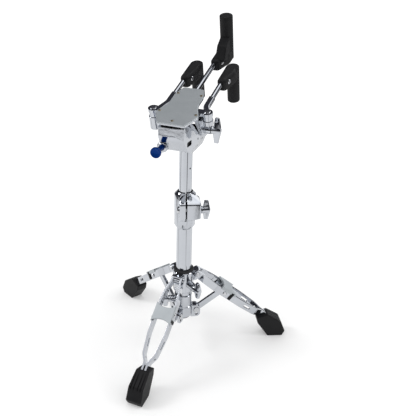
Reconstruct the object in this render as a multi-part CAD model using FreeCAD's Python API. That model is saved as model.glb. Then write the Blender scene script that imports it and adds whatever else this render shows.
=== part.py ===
import FreeCAD, Part
import math
import os

from FreeCAD import Rotation, Vector

# A snare drum stand: a folding tripod, a telescopic gas-lift column and a tilting three-arm basket.
# Millimetres and degrees. The origin is on the column's axis at floor level, X runs along the
# basket's tilt axis to the right, Y to the back and Z up.

# Play between pieces
running_fit = 0.05
side_gap = 0.3
clear_gap = 0.6

# Broken edges of turned pieces
chamfer = 1.0
small_chamfer = 0.5
round_play = 0.01

# Column tubes
lower_tube_radius = 15.875
lower_tube_wall = 1.6
lower_tube_bottom = 66.0
lower_tube_top = 322.0
upper_tube_radius = 12.7
upper_tube_wall = 1.4
upper_tube_bottom = 175.0
upper_tube_drop = 26.0
index_hole_radius = 1.7
index_hole_drop = 54.0
index_hole_turn = -27.0

# Plug in the lower tube's foot
plug_flange = 4.0
plug_depth = 10.0
plug_floor = 2.0

# Gas spring
gas_rod_radius = 4.0
gas_rod_top = 330.0
gas_foot_radius = 9.0
gas_foot_height = 3.0
piston_height = 12.0
gas_cylinder_bottom = 196.0
gas_cylinder_wall = 1.6
gas_head_height = 18.0
gas_guide_height = 10.0
gas_cylinder_drop = 4.0
valve_pin_radius = 2.0
valve_pin_length = 20.0
valve_pin_rise = 8.6

# Height clamp at the top of the lower tube
clamp_radius = 21.0
clamp_bottom = 277.0
clamp_height = 78.0
clamp_taper = 7.0
clamp_rim = 3.5
clamp_turn = 25.0
clamp_slit = 2.4
clamp_ear_reach = 36.0
clamp_ear_bottom = 306.0
clamp_ear_height = 40.0
clamp_ear_round = 9.0
clamp_ear_edge = 2.0
clamp_lip = 0.8
clamp_slit_drop = 8.0
clamp_left_ear = 12.0
clamp_right_ear = 27.0
clamp_bush_wall = 2.2
clamp_bolt_radius = 3.5
clamp_bolt_reach = 26.5
clamp_bolt_head_radius = 7.5
clamp_bolt_head_height = 4.0
clamp_bolt_crown_radius = 5.0
clamp_bolt_brow_radius = 6.9
bolt_end_gap = 2.0

# Wing nuts and wing screws
wing_hub_radius = 7.5
wing_hub_length = 18.0
wing_collar_length = 3.0
wing_neck_start = 5.0
wing_neck_radius = 6.4
wing_end_radius = 5.0
wing_apex_half = 6.0
wing_apex_round = 6.0
wing_tip_width = 8.0
wing_tip_round = 3.6
wing_lean = 3.0
wing_edge_round = 2.2
wing_thickness = 7.0
wing_bore_floor = 3.0
clamp_wing_span = 20.0
tilt_wing_span = 24.0
tripod_wing_span = 18.0
wing_screw_radius = 3.0

# Tripod
leg_turns = {"front": -93.5, "right": 26.5, "left": 146.5}
leg_pivot_radius = 28.0
leg_pivot_height = 168.0
leg_folded_pitch = 83.5
pivot_pin_radius = 3.0
pin_head_height = 1.8
pin_head_rim = 0.6
leg_pin_head_radius = 5.0
knee_pin_head_radius = 4.4
hub_pin_head_radius = 6.4

# Leg collar and its bush
collar_radius = 21.0
collar_below_pivot = 40.0
collar_above_pivot = 8.0
collar_foot_chamfer = 2.0
collar_head_chamfer = 1.5
collar_bush_wall = 3.2
collar_bush_depth = 20.0
collar_bush_flange = 5.0
collar_bush_flange_radius = 20.4
collar_lug_radius = 8.0
collar_lug_round = 6.0
collar_lug_nose = 2.0
collar_boss_radius = 8.0
collar_boss_reach = 39.0
collar_boss_drop = 18.0
collar_boss_turn = -34.0

# Leg straps
strap_thickness = 4.0
strap_height = 16.0
strap_pivot_side = 9.5
strap_bow_side = 14.4
strap_wide_side = 17.5
strap_waist_side = 12.5
strap_toe_side = 3.6
strap_flare_start = 8.0
strap_bow_place = 26.0
strap_flare_end = 48.0
strap_narrow_start = 118.0
strap_waist = 161.0
strap_toe_start = 176.0
strap_end = 196.0
strap_end_round = 3.0
strap_end_height = 46.0
strap_bend_radius = 16.0
strap_slot_start = 128.0
strap_slot_length = 18.0
strap_slot_height = 5.4
strap_hole_radius = 2.2
strap_hole_place = 166.0

# Bridge over the straps
bridge_start = 58.0
bridge_length = 39.0
bridge_thickness = 4.0
bridge_lip = 1.2
bridge_lip_drop = 2.4
bridge_waist = 7.0
bridge_edge_round = 0.8
bridge_ear_length = 15.0
bridge_ear_drop = 7.0
bridge_ear_round = 6.0

# Rubber pads on the outer faces of the straps and the bridge
pad_start = 85.5
pad_length = 6.0
pad_bottom = -6.5
pad_top = 10.6
pad_thickness = 1.8

# Braces between the legs and the hub
brace_knee = 73.0
brace_width = 6.0
brace_height = 12.0
brace_eye_radius = 7.2
clevis_ear_thickness = 4.5

# Hub at the foot of the lower tube
hub_radius = 20.0
hub_collar_gap = 10.0
hub_neck_radius = 18.2
hub_neck_above_pivot = 14.9
hub_ear_nose = 8.0
hub_ear_wall = 3.9
hub_ear_above_pivot = 11.0
hub_ear_round = 9.0
hub_slot_play = 0.4
hub_boss_radius = 7.5
hub_boss_reach = 27.0
hub_boss_drop = 14.0
hub_boss_turn = -154.0

# Rubber feet: places along the leg are measured out from the end of the straps
foot_profile = ((-20.4, 48.0, 3.0), (-17.4, 34.0, 8.0), (6.6, 0.0, 3.0), (38.6, 0.0, 2.5),
                (44.6, 12.0, 5.0), (33.6, 37.0, 8.0), (4.6, 56.0, 4.0))
foot_heel_place = -31.4
foot_heel_half_width = 11.8
foot_toe_place = 48.6
foot_toe_half_width = 16.6
foot_groove_width = 1.8
foot_groove_depth = 1.6
foot_groove_height = 20.0
foot_groove_sides = (-10.2, -4.2, 4.2, 10.2)
foot_groove_start = 168.0
foot_groove_end = 262.0
foot_crown = 12.2
foot_edge_round = 1.8

# Tilter: the casting on top of the column, with heights measured from the tilt axis
tilt_height = 485.0
tilt_bolt_radius = 4.0
tilt_bolt_head_radius = 8.5
tilt_bolt_head_height = 4.5
tilt_bolt_crown = 1.5
tilt_bolt_crown_inset = 2.0
tilt_boss_length = 10.0
tilt_nut_boss_radius = 8.5
tilter_bottom = -41.0
tilter_floor = -24.5
tilter_mouth = 45.0
tilter_half_width = 29.7
tilter_wall = 3.4
tilter_nose_wall = 2.0
tilter_side = ((-80.0, 21.0), (-58.0, 26.0), (-12.0, 12.0), (12.0, 9.0), (28.0, -9.0), (28.0, -33.0),
               (20.0, tilter_bottom), (-24.0, tilter_bottom), (-38.0, -36.0), (-60.0, -26.0), (-76.0, -3.0),
               (-80.0, 5.0))
tilter_inside = ((-76.5, tilter_mouth), (-76.5, 6.0), (-72.0, -3.0), (-57.5, tilter_floor),
                 (24.5, tilter_floor), (24.5, tilter_mouth))
tilter_plan = ((22.5, -84.0), (tilter_half_width, -8.0), (tilter_half_width, 30.0))
tilter_front = ((18.0, tilter_bottom), (24.0, -38.0), (31.0, -15.0), (31.0, tilter_mouth))
tilt_boss_radius = 13.0
tilt_boss_depth = 5.5
tilter_corner_start = 10.5
tilter_corner_side = 24.0
tilter_corner_depth = 3.2
panel_inset = 1.2
panel_left = -20.5
panel_right = 9.5
panel_bottom = 6.5
panel_top = 19.0
pocket_start = -62.0
pocket_length = 18.0
pocket_bottom = -16.5
pocket_height = 9.0
pocket_round = 2.5
side_pocket_floor = 23.6
side_hole_radius = 1.8
side_hole_places = ((-17.0, -14.0), (-14.0, -28.0), (10.0, -21.0))

# Release button, its guide and the rocker under the basket, with heights from the tilt axis
button_side = -20.0
button_height = -20.0
button_face = -100.0
button_radius = 9.8
button_rim = 5.0
button_dome = 0.8
button_dome_inset = 2.2
button_cone_end = -88.0
button_neck_radius = 4.8
button_neck_end = -70.0
stem_radius = 3.0
stem_seat = -84.0
stem_point_length = 2.0
stem_point_radius = 0.5
stem_room_back = -30.0
guide_flange_radius = 9.2
guide_flange_front = -72.0
guide_flange_back = -66.0
guide_back = -48.0
guide_radius = 7.4
guide_pocket_depth = 12.0
guide_pocket_play = 0.5
guide_boss_radius = 10.4
guide_boss_back = -48.0
spring_wall = 1.6
rocker_place = 14.0
rocker_height = -11.5
rocker_shaft_radius = 3.0
rocker_arm_radius = 3.5
rocker_arm_width = 6.0
rocker_toe_below_stem = 2.5
rocker_toe_round = 1.5
rocker_top_round = 3.0
rocker_reach = 17.0
rocker_tip_height = 5.0
rocker_left_end = -27.0
rocker_right_end = 9.5
rocker_pillar_width = 4.0
rocker_pillar_grip = 3.0
rocker_pillar_length = 10.0
rocker_pillar_above_shaft = 5.1
rocker_pillar_root = 2.0

# Basket: sizes in its own frame, whose origin is the tilt axis
basket_pitch = 15.2
cover_above_arm = 12.9
cover_thickness = 2.0
cover_edge_round = 0.7
cover_half_outline = ((25.5, -71.0, 3.0), (39.5, -38.0, 5.0), (27.0, -6.0, 60.0), (27.5, 24.5, 20.0),
                      (19.5, 50.0, 4.0))
cover_screw_places = ((0.0, -61.5), (33.7, -35.0), (-33.7, -35.0), (22.3, 28.0), (-22.3, 28.0))
cover_screw_radius = 1.5
cover_screw_head_radius = 2.6
cover_screw_head_height = 1.0
frame_plate_thickness = 3.0
frame_beam_half_width = 8.5
frame_beam_start = -28.0
frame_beam_end = 50.0
frame_beam_bottom = 30.0
frame_beam_round = 2.5
cheek_thickness = 8.0
cheek_outline = ((-38.0, 46.0, 2.0), (-36.0, 37.0, 8.0), (-13.0, -4.0, 0.0), (13.0, -4.0, 0.0),
                 (13.0, 4.0, 0.0), (-14.0, 33.0, 6.0), (-16.0, 46.0, 2.0))
cheek_eye_radius = 13.0

# Arm hinges on the basket
hinge_side = 49.0
hinge_places = {-1: -27.0, 1: -18.0}
hinge_lug_radius = 9.8
hinge_lug_bottoms = {-1: 8.0, 1: 24.6}
hinge_web_width = 14.0
hinge_upper_web_inner = 26.0
hinge_lower_web_inner = 31.0
hinge_pin_radius = 3.5
hinge_pin_head_radius = 5.6
hinge_pin_head_height = 1.6
hinge_pin_head_rim = 0.5

# Arms and grips
arm_height = 37.5
arm_rod_radius = 4.75
arm_rod_root_radius = 3.0
arm_eye_radius = 8.6
arm_eye_height = 8.6
arm_bar_width = 11.0
arm_bar_start = 12.0
arm_bar_end = 46.0
arm_side = 36.5
arm_bend_radius = 22.0
arm_edge_round = 2.0
side_grip_places = {"left": 91.0, "right": 95.0}
rear_grip_place = 167.0
rear_arm_start = -12.0
grip_left = 7.5
grip_mouth_right = 9.5
grip_shoulder = 36.0
grip_above = 10.0
grip_below = 13.0
grip_mouth_round = 7.2
grip_shoulder_round = 14.0
grip_crown_round = 6.8
grip_end_round = 9.5
grip_head_inset = 0.7
grip_bore_depth = 48.0
grip_post_place = 58.0
side_post_side = 7.6
side_post_radius = 12.4
side_post_reach = 66.0
rear_post_side = 10.4
rear_post_radius = 13.2
rear_post_reach = 79.0
grip_edge_round = 2.0
gusset_start = 8.0
gusset_shoulder = 24.0
gusset_low = 30.0
gusset_high = 42.0
gusset_high_round = 4.0
gusset_low_round = 5.0
gusset_half_width = 10.0
grip_screw_place = 19.0
grip_screw_radius = 3.0
grip_screw_head_radius = 4.6
grip_screw_head_height = 3.0
grip_screw_head_rim = 0.8
grip_recess_radius = 5.6
grip_recess_depth = 2.4

# Values that follow from the ones above
upper_tube_top = tilt_height - upper_tube_drop
lower_bore = lower_tube_radius - lower_tube_wall
upper_bore = upper_tube_radius - upper_tube_wall
plug_top = lower_tube_bottom + plug_depth
gas_cylinder_radius = upper_bore - side_gap
gas_bore = gas_cylinder_radius - gas_cylinder_wall
gas_cylinder_top = upper_tube_top - gas_cylinder_drop
valve_pin_top = gas_cylinder_top + valve_pin_rise
clamp_top = clamp_bottom + clamp_height
clamp_bush_bore = upper_tube_radius + running_fit
clamp_bush_radius = clamp_bush_bore + clamp_bush_wall
clamp_bolt_height = clamp_ear_bottom + clamp_ear_height / 2
pitch = math.asin((leg_pivot_height - strap_end_height) / strap_end)
leg_pitch = math.degrees(pitch)
leg_fold = leg_folded_pitch - leg_pitch
strap_end_radius = leg_pivot_radius + strap_end * math.cos(pitch)
strap_outer_side = strap_wide_side + strap_thickness / 2
collar_bottom = leg_pivot_height - collar_below_pivot
collar_top = leg_pivot_height + collar_above_pivot
collar_boss_height = leg_pivot_height - collar_boss_drop
hub_bottom = lower_tube_bottom
hub_top = collar_bottom - hub_collar_gap
hub_boss_height = hub_top - hub_boss_drop
collar_lug_width = 2 * (strap_pivot_side - strap_thickness / 2 - side_gap)
knee_radius = leg_pivot_radius + brace_knee * math.cos(pitch)
knee_height = leg_pivot_height - brace_knee * math.sin(pitch)
hub_pivot_height = leg_pivot_height - 2 * brace_knee * math.sin(pitch)
ear_inner = brace_width / 2 + side_gap
ear_outer = ear_inner + clevis_ear_thickness
cover_top = arm_height + cover_above_arm
frame_top = cover_top - cover_thickness
frame_bottom = frame_top - frame_plate_thickness
cheek_inner = tilter_half_width + clear_gap
cheek_outer = cheek_inner + cheek_thickness
arm_eye_bottom = arm_height - arm_eye_height / 2
arm_eye_top = arm_height + arm_eye_height / 2
ALONG_X = (1, 0, 0)
ALONG_Y = (0, 1, 0)
ALONG_Z = (0, 0, 1)


# Drawing tools
def cylinder(radius, start, direction, length):
    return Part.makeCylinder(radius, length, Vector(*start), Vector(*direction))


def bore(radius, start, direction, length):
    """The room that a round piece of that radius runs or sits in."""
    return cylinder(radius + running_fit, start, direction, length)


def box(low, high):
    size = Vector(*high) - Vector(*low)
    return Part.makeBox(size.x, size.y, size.z, Vector(*low))


def on_plan(height):
    return lambda a, b: Vector(a, b, height)


def on_side(x):
    return lambda a, b: Vector(x, a, b)


def on_front(y):
    return lambda a, b: Vector(a, y, b)


def outline_face(corners, to_space):
    """A face whose corners are (a, b) or (a, b, radius), each rounded by its radius."""
    count = len(corners)
    points = [Vector(corner[0], corner[1], 0) for corner in corners]
    radii = [corner[2] if len(corner) > 2 else 0.0 for corner in corners]
    rounds = []
    for index in range(count):
        here = points[index]
        if radii[index] == 0:
            rounds.append((here, here, here))
            continue
        back = (points[index - 1] - here).normalize()
        ahead = (points[(index + 1) % count] - here).normalize()
        half = back.getAngle(ahead) / 2
        reach = radii[index] / math.tan(half)
        middle_way = (back + ahead).normalize()
        middle = here + middle_way * (radii[index] / math.sin(half) - radii[index])
        rounds.append((here + back * reach, middle, here + ahead * reach))
    edges = []
    for index in range(count):
        start, middle, end = (to_space(point.x, point.y) for point in rounds[index])
        following = rounds[(index + 1) % count][0]
        following = to_space(following.x, following.y)
        if radii[index] > 0:
            edges.append(Part.Arc(start, middle, end).toShape())
        if end.distanceToPoint(following) > 1e-6:
            edges.append(Part.LineSegment(end, following).toShape())
    return Part.Face(Part.Wire(edges))


def mirrored_outline(half):
    """The whole outline of a piece that is alike left and right, from its right half."""
    left = [(-corner[0],) + tuple(corner[1:]) for corner in reversed(half)]
    return list(half) + left


def slab(corners, to_space, direction, thickness):
    return outline_face(corners, to_space).extrude(Vector(*direction) * thickness)


def turned(profile, start=(0, 0, 0), direction=ALONG_Z):
    """A turned piece from (along, radius) points, on an axis from start along direction."""
    points = [Vector(radius, 0, along) for along, radius in profile]
    ends = [Vector(0, 0, profile[-1][0]), Vector(0, 0, profile[0][0])]
    corners = []
    for point in points + ends:
        if not corners or point.distanceToPoint(corners[-1]) > 1e-6:
            corners.append(point)
    wire = Part.makePolygon(corners + corners[:1])
    shape = Part.Face(wire).revolve(Vector(0, 0, 0), Vector(*ALONG_Z), 360)
    shape.rotate(Vector(0, 0, 0), *turn_onto(direction))
    shape.translate(Vector(*start))
    return shape


def turn_onto(direction):
    rotation = Rotation(Vector(*ALONG_Z), Vector(*direction))
    return rotation.Axis, math.degrees(rotation.Angle)


def joined(shapes):
    whole = shapes[0]
    for shape in shapes[1:]:
        whole = whole.fuse(shape)
    return whole.removeSplitter()


def turned_about_z(shape, angle):
    copy = shape.copy()
    copy.rotate(Vector(0, 0, 0), Vector(*ALONG_Z), angle)
    return copy


def bent_strip(points, width, bend_radius):
    """The outline of a strip of even width bent along points, with its bends rounded."""
    count = len(points)
    line = [Vector(a, b, 0) for a, b in points]
    left = []
    right = []
    for index in range(count):
        before = line[max(index - 1, 0)]
        here = line[index]
        after = line[min(index + 1, count - 1)]
        way_in = (here - before) if index > 0 else (after - here)
        way_out = (after - here) if index < count - 1 else (here - before)
        way_in.normalize()
        way_out.normalize()
        side = Vector(-(way_in.y + way_out.y), way_in.x + way_out.x, 0).normalize()
        square = Vector(-way_in.y, way_in.x, 0)
        reach = width / 2 / side.dot(square)
        bend = way_in.x * way_out.y - way_in.y * way_out.x
        inner = 0.0 if abs(bend) < 1e-6 else math.copysign(width / 2, bend)
        round_left = bend_radius - inner if inner else 0.0
        round_right = bend_radius + inner if inner else 0.0
        left.append((here.x + side.x * reach, here.y + side.y * reach, round_left))
        right.append((here.x - side.x * reach, here.y - side.y * reach, round_right))
    return left + right[::-1]


def edges_along(shape, keep):
    return [edge for edge in shape.Edges if keep(edge)]


def keep(name, shape):
    shape.exportStep(os.path.join("parts", name + ".step"))


# Wing nuts and wing screws, on an axis along +X from their seat at the origin
def wing(span):
    hub_end = wing_hub_length
    hub = turned([(0, wing_hub_radius), (wing_collar_length, wing_hub_radius),
                  (wing_neck_start, wing_neck_radius), (hub_end - chamfer, wing_end_radius),
                  (hub_end, wing_end_radius - chamfer)], direction=ALONG_X)
    tip = wing_collar_length + wing_lean
    half_blade = [(wing_collar_length, 0), (tip, span, wing_tip_round),
                  (tip + wing_tip_width, span, wing_tip_round),
                  (hub_end - chamfer, wing_apex_half, wing_apex_round), (hub_end - chamfer, 0)]
    other_half = [(a, -b, *rest) for a, b, *rest in half_blade[::-1][1:-1]]
    blade = slab(half_blade + other_half, on_front(-wing_thickness / 2), ALONG_Y, wing_thickness)
    rims = edges_along(blade, lambda edge: edge.BoundBox.YLength < 0.01)
    return joined([hub, blade.makeFillet(wing_edge_round, rims)])


def wing_nut(span, bolt_radius):
    return wing(span).cut(bore(bolt_radius, (-1, 0, 0), ALONG_X, wing_hub_length - wing_bore_floor + 1))


def wing_screw(span, shank_length):
    shank = cylinder(wing_screw_radius, (-shank_length, 0, 0), ALONG_X, shank_length + 1)
    return joined([wing(span), shank])


# Column
def make_tubes():
    height = lower_tube_top - lower_tube_bottom
    lower = cylinder(lower_tube_radius, (0, 0, lower_tube_bottom), ALONG_Z, height)
    lower = lower.cut(cylinder(lower_bore, (0, 0, lower_tube_bottom), ALONG_Z, height))
    height = upper_tube_top - upper_tube_bottom
    upper = cylinder(upper_tube_radius, (0, 0, upper_tube_bottom), ALONG_Z, height)
    upper = upper.cut(cylinder(upper_bore, (0, 0, upper_tube_bottom), ALONG_Z, height))
    hole_start = (0, 0, upper_tube_top - index_hole_drop)
    hole = cylinder(index_hole_radius, hole_start, ALONG_X, 2 * upper_tube_radius)
    keep("lower_tube", lower)
    keep("upper_tube", upper.cut(turned_about_z(hole, index_hole_turn)))


def make_tube_plug():
    flange_bottom = lower_tube_bottom - plug_flange
    body = turned([(flange_bottom, lower_tube_radius), (lower_tube_bottom, lower_tube_radius),
                   (lower_tube_bottom, lower_bore - running_fit), (plug_top, lower_bore - running_fit)])
    bearing = bore(gas_rod_radius, (0, 0, lower_tube_bottom + plug_floor), ALONG_Z, plug_depth)
    keep("tube_plug", body.cut(bearing))


def make_gas_spring():
    rod_bottom = lower_tube_bottom + plug_floor + side_gap
    foot_bottom = plug_top + side_gap
    foot_top = foot_bottom + gas_foot_height
    piston_bottom = gas_rod_top - piston_height
    piston_radius = gas_bore - running_fit
    rod = turned([(rod_bottom, gas_rod_radius), (foot_bottom, gas_rod_radius),
                  (foot_bottom, gas_foot_radius), (foot_top, gas_foot_radius), (foot_top, gas_rod_radius),
                  (piston_bottom, gas_rod_radius), (piston_bottom, piston_radius),
                  (gas_rod_top, piston_radius)])
    keep("gas_spring_rod", rod)
    length = gas_cylinder_top - gas_cylinder_bottom
    chamber_bottom = gas_cylinder_bottom + gas_guide_height
    chamber_top = gas_cylinder_top - gas_head_height
    case = cylinder(gas_cylinder_radius, (0, 0, gas_cylinder_bottom), ALONG_Z, length)
    case = case.cut(cylinder(gas_bore, (0, 0, chamber_bottom), ALONG_Z, chamber_top - chamber_bottom))
    case = case.cut(bore(gas_rod_radius, (0, 0, gas_cylinder_bottom - 1), ALONG_Z,
                         gas_guide_height + 2))
    case = case.cut(bore(valve_pin_radius, (0, 0, chamber_top - 1), ALONG_Z,
                         gas_head_height + 2))
    keep("gas_spring_cylinder", case)
    pin_bottom = valve_pin_top - valve_pin_length
    keep("valve_pin", turned([(pin_bottom, valve_pin_radius), (valve_pin_top - chamfer, valve_pin_radius),
                              (valve_pin_top, valve_pin_radius - chamfer)]))


# The clamp is drawn with its slit facing the front and then turned to its place
def make_height_clamp():
    body = turned([(clamp_bottom, lower_tube_radius + clamp_lip), (clamp_bottom + clamp_taper, clamp_radius),
                   (clamp_top - clamp_rim, clamp_radius), (clamp_top, clamp_radius - clamp_rim)])
    ear = [(-clamp_ear_reach, clamp_ear_bottom, clamp_ear_round),
           (0, clamp_ear_bottom),
           (0, clamp_ear_bottom + clamp_ear_height),
           (-clamp_ear_reach, clamp_ear_bottom + clamp_ear_height, clamp_ear_round)]
    left_end = -clamp_slit / 2 - clamp_left_ear
    right_end = clamp_slit / 2 + clamp_right_ear
    ears = slab(ear, on_side(left_end), ALONG_X, right_end - left_end)
    rims = edges_along(ears, lambda edge: edge.BoundBox.XLength < 0.01 and edge.CenterOfMass.y < -1)
    whole = joined([body, ears.makeFillet(clamp_ear_edge, rims)])
    tube_seat = bore(lower_tube_radius, (0, 0, clamp_bottom - 1), ALONG_Z,
                     lower_tube_top - clamp_bottom + 1)
    bush_seat = bore(clamp_bush_radius, (0, 0, lower_tube_top - 1), ALONG_Z, clamp_height)
    slit = box((-clamp_slit / 2, -clamp_ear_reach - 1, clamp_ear_bottom - clamp_slit_drop),
               (clamp_slit / 2, 0, clamp_top + 1))
    bolt_hole = bore(clamp_bolt_radius, (left_end - 1, -clamp_bolt_reach, clamp_bolt_height),
                     ALONG_X, right_end - left_end + 2)
    whole = whole.cut(tube_seat.fuse(bush_seat)).cut(slit).cut(bolt_hole)
    keep("height_clamp", turned_about_z(whole, clamp_turn))

    bush_bottom = lower_tube_top
    bush_height = clamp_top - clamp_rim - bush_bottom
    bush = cylinder(clamp_bush_radius, (0, 0, bush_bottom), ALONG_Z, bush_height)
    bush = bush.cut(cylinder(clamp_bush_bore, (0, 0, bush_bottom), ALONG_Z, bush_height))
    keep("clamp_bush", turned_about_z(bush.cut(slit), clamp_turn))

    nut_seat = right_end + side_gap
    bolt_length = nut_seat + wing_hub_length - wing_bore_floor - bolt_end_gap - left_end
    bolt = turned([(-clamp_bolt_head_height, clamp_bolt_crown_radius),
                   (-clamp_bolt_head_height / 2, clamp_bolt_brow_radius),
                   (0, clamp_bolt_head_radius), (0, clamp_bolt_radius),
                   (bolt_length - chamfer, clamp_bolt_radius), (bolt_length, clamp_bolt_radius - chamfer)],
                  (left_end, -clamp_bolt_reach, clamp_bolt_height), ALONG_X)
    keep("clamp_bolt", turned_about_z(bolt, clamp_turn))
    nut = wing_nut(clamp_wing_span, clamp_bolt_radius)
    nut.translate(Vector(nut_seat, -clamp_bolt_reach, clamp_bolt_height))
    keep("clamp_wing_nut", turned_about_z(nut, clamp_turn))


# Brace hub at the foot of the lower tube
def make_brace_hub():
    neck_start = hub_pivot_height + hub_neck_above_pivot
    shoulder = neck_start - (hub_radius - hub_neck_radius)
    body = turned([(hub_bottom, hub_radius - chamfer), (hub_bottom + chamfer, hub_radius),
                   (shoulder, hub_radius), (neck_start, hub_neck_radius),
                   (hub_top - chamfer, hub_neck_radius), (hub_top, hub_neck_radius - chamfer)])
    pieces = [body]
    dip = 2 * brace_knee * math.sin(pitch + math.radians(leg_fold / 2))
    dip -= brace_knee * (math.sin(pitch) + math.sin(pitch + math.radians(leg_fold)))
    slot_half = pivot_pin_radius + running_fit
    slot_low = hub_pivot_height - dip - hub_slot_play - slot_half
    slot_high = hub_pivot_height + hub_slot_play + slot_half
    slot_inner = leg_pivot_radius - slot_half
    slot_outer = leg_pivot_radius + slot_half
    slot_round = slot_half - round_play
    slot = [(slot_inner, slot_low, slot_round), (slot_outer, slot_low, slot_round),
            (slot_outer, slot_high, slot_round), (slot_inner, slot_high, slot_round)]
    eye_room = box((leg_pivot_radius - brace_eye_radius - clear_gap, -ear_inner, hub_bottom - 1),
                   (leg_pivot_radius, ear_inner, slot_high + brace_eye_radius))
    ear_bottom = slot_low - hub_ear_wall
    ear_top = hub_pivot_height + hub_ear_above_pivot
    ear_end = leg_pivot_radius + hub_ear_nose
    ear = [(lower_tube_radius, ear_bottom), (ear_end, ear_bottom, hub_ear_round),
           (ear_end, ear_top, hub_ear_round), (lower_tube_radius, ear_top)]
    rooms = []
    for turn in leg_turns.values():
        for side in (-ear_outer, ear_inner):
            pieces.append(turned_about_z(slab(ear, on_front(side), ALONG_Y, clevis_ear_thickness), turn))
        rooms.append(turned_about_z(slab(slot, on_front(-ear_outer - 1), ALONG_Y, 2 * ear_outer + 2), turn))
        rooms.append(turned_about_z(eye_room, turn))
    boss = cylinder(hub_boss_radius, (0, 0, hub_boss_height), ALONG_X, hub_boss_reach)
    pieces.append(turned_about_z(boss, hub_boss_turn))
    hub = joined(pieces)
    for room in rooms:
        hub = hub.cut(room)
    screw_hole = bore(wing_screw_radius, (0, 0, hub_boss_height), ALONG_X, hub_boss_reach + 1)
    hub = hub.cut(turned_about_z(screw_hole, hub_boss_turn))
    seat = bore(lower_tube_radius, (0, 0, hub_bottom - 1), ALONG_Z, hub_top - hub_bottom + 2)
    keep("brace_hub", hub.cut(seat))
    keep("hub_wing_screw", placed_wing_screw(hub_boss_reach, hub_boss_height, hub_boss_turn))


def placed_wing_screw(boss_reach, height, turn):
    seat = boss_reach + side_gap
    screw = wing_screw(tripod_wing_span, seat - lower_tube_radius - side_gap)
    screw.translate(Vector(seat, 0, height))
    return turned_about_z(screw, turn)


# Leg collar that slides on the lower tube
def make_leg_collar():
    body = turned([(collar_bottom, collar_radius - collar_foot_chamfer),
                   (collar_bottom + collar_foot_chamfer, collar_radius),
                   (collar_top - collar_head_chamfer, collar_radius),
                   (collar_top, collar_radius - collar_head_chamfer)])
    pieces = [body]
    pin_holes = []
    half = collar_lug_width / 2
    lug_bottom = leg_pivot_height - 2 * collar_lug_radius
    lug_top = leg_pivot_height + collar_lug_radius
    lug_end = leg_pivot_radius + collar_lug_radius
    lug = [(0, lug_bottom), (leg_pivot_radius - collar_lug_nose, lug_bottom, collar_lug_round),
           (lug_end, leg_pivot_height - collar_lug_nose, collar_lug_round),
           (lug_end, lug_top, collar_lug_round), (0, lug_top)]
    for turn in leg_turns.values():
        pieces.append(turned_about_z(slab(lug, on_front(-half), ALONG_Y, collar_lug_width), turn))
        hole = bore(pivot_pin_radius, (leg_pivot_radius, -half - 1, leg_pivot_height),
                    ALONG_Y, collar_lug_width + 2)
        pin_holes.append(turned_about_z(hole, turn))
    boss = cylinder(collar_boss_radius, (0, 0, collar_boss_height), ALONG_X, collar_boss_reach)
    pieces.append(turned_about_z(boss, collar_boss_turn))
    collar = joined(pieces)
    for hole in pin_holes:
        collar = collar.cut(hole)
    screw_hole = bore(wing_screw_radius, (0, 0, collar_boss_height), ALONG_X, collar_boss_reach + 1)
    collar = collar.cut(turned_about_z(screw_hole, collar_boss_turn))
    bush_bore = lower_tube_radius + running_fit
    bush_radius = bush_bore + collar_bush_wall
    bush_bottom = collar_top - collar_bush_depth
    tube_room = lower_tube_radius + clear_gap
    collar = collar.cut(cylinder(tube_room, (0, 0, collar_bottom - 1), ALONG_Z, collar_top))
    keep("leg_collar", collar.cut(bore(bush_radius, (0, 0, bush_bottom), ALONG_Z, collar_top)))

    flange_top = collar_top + collar_bush_flange
    flange_radius = collar_bush_flange_radius
    bush = turned([(bush_bottom, bush_radius), (collar_top, bush_radius), (collar_top, flange_radius),
                   (flange_top - chamfer, flange_radius), (flange_top, flange_radius - chamfer)])
    keep("collar_bush", bush.cut(cylinder(bush_bore, (0, 0, bush_bottom - 1), ALONG_Z, 2 * collar_top)))
    keep("collar_wing_screw", placed_wing_screw(collar_boss_reach, collar_boss_height, collar_boss_turn))
    grip = strap_pivot_side + strap_thickness / 2 + side_gap
    pins = [turned_about_z(headed_pin(grip, leg_pin_head_radius, leg_pivot_radius, leg_pivot_height), turn)
            for turn in leg_turns.values()]
    keep("leg_pivot_pins", Part.makeCompound(pins))


def headed_pin(grip, head_radius, radius, height):
    """A pin across a leg at azimuth 0, headed at both ends, that holds a stack of half width grip."""
    rim = grip + pin_head_rim
    head_end = grip + pin_head_height
    crown = head_radius - chamfer
    return turned([(-head_end, crown), (-rim, head_radius), (-grip, head_radius), (-grip, pivot_pin_radius),
                   (grip, pivot_pin_radius), (grip, head_radius), (rim, head_radius), (head_end, crown)],
                  (radius, 0, height), ALONG_Y)


# Legs are drawn along +X from their pivot, lying flat, and then pitched down and turned
def place_leg(shape, turn):
    placed = shape.copy()
    placed.rotate(Vector(0, 0, 0), Vector(*ALONG_Y), leg_pitch)
    placed.translate(Vector(leg_pivot_radius, 0, leg_pivot_height))
    return turned_about_z(placed, turn)


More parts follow.
